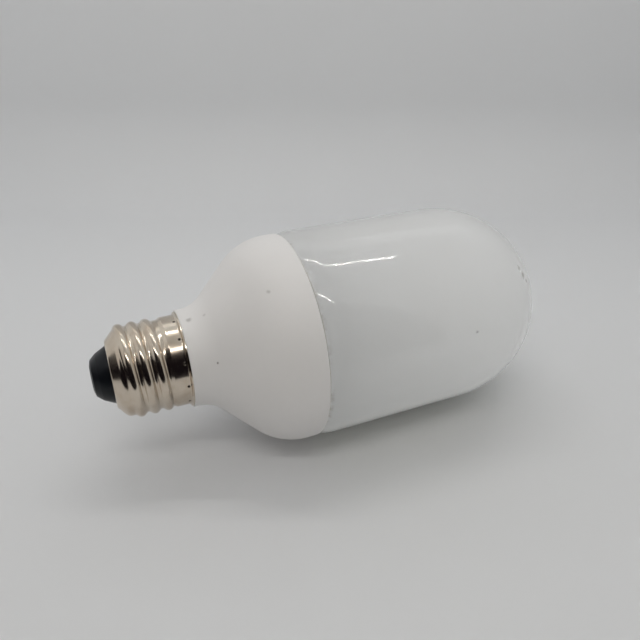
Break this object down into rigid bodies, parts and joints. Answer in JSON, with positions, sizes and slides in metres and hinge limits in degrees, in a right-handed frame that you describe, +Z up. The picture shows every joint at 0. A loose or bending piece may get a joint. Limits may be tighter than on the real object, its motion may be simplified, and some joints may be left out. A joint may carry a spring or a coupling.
{
  "type": "compact fluorescent lamp",
  "caption": "Screw-base fluorescent bulb with a covered cylindrical opal bulb, domed end, flared white ballast housing and rolled-thread metal cap.",
  "frame": {"origin": "under the middle of the lamp's length, on the surface it lies on, at the foot of the bulb", "axes": "+X along the lamp from the screw cap to the dome, +Z up, the lamp lying on its side"},
  "size_m": [0.1378, 0.0618, 0.0618],
  "materials": {
    "opal_glass": "glossy milk-white glass, opaque to the eye when unlit",
    "white_plastic": "satin moulded plastic, warm white",
    "aged_glue": "hardened glue, yellowed",
    "nickel_plate": "rolled sheet with worn nickel plating",
    "black_glass": "glossy black insulating glass",
    "contact_metal": "tinned brass, dull"
  },
  "bodies": {
    "root": {"opal_bulb": "opal_glass", "ballast_housing": "white_plastic", "seam_adhesive": "aged_glue", "screw_shell": "nickel_plate", "base_insulator": "black_glass", "centre_contact": "contact_metal"}
  },
  "joints": []
}
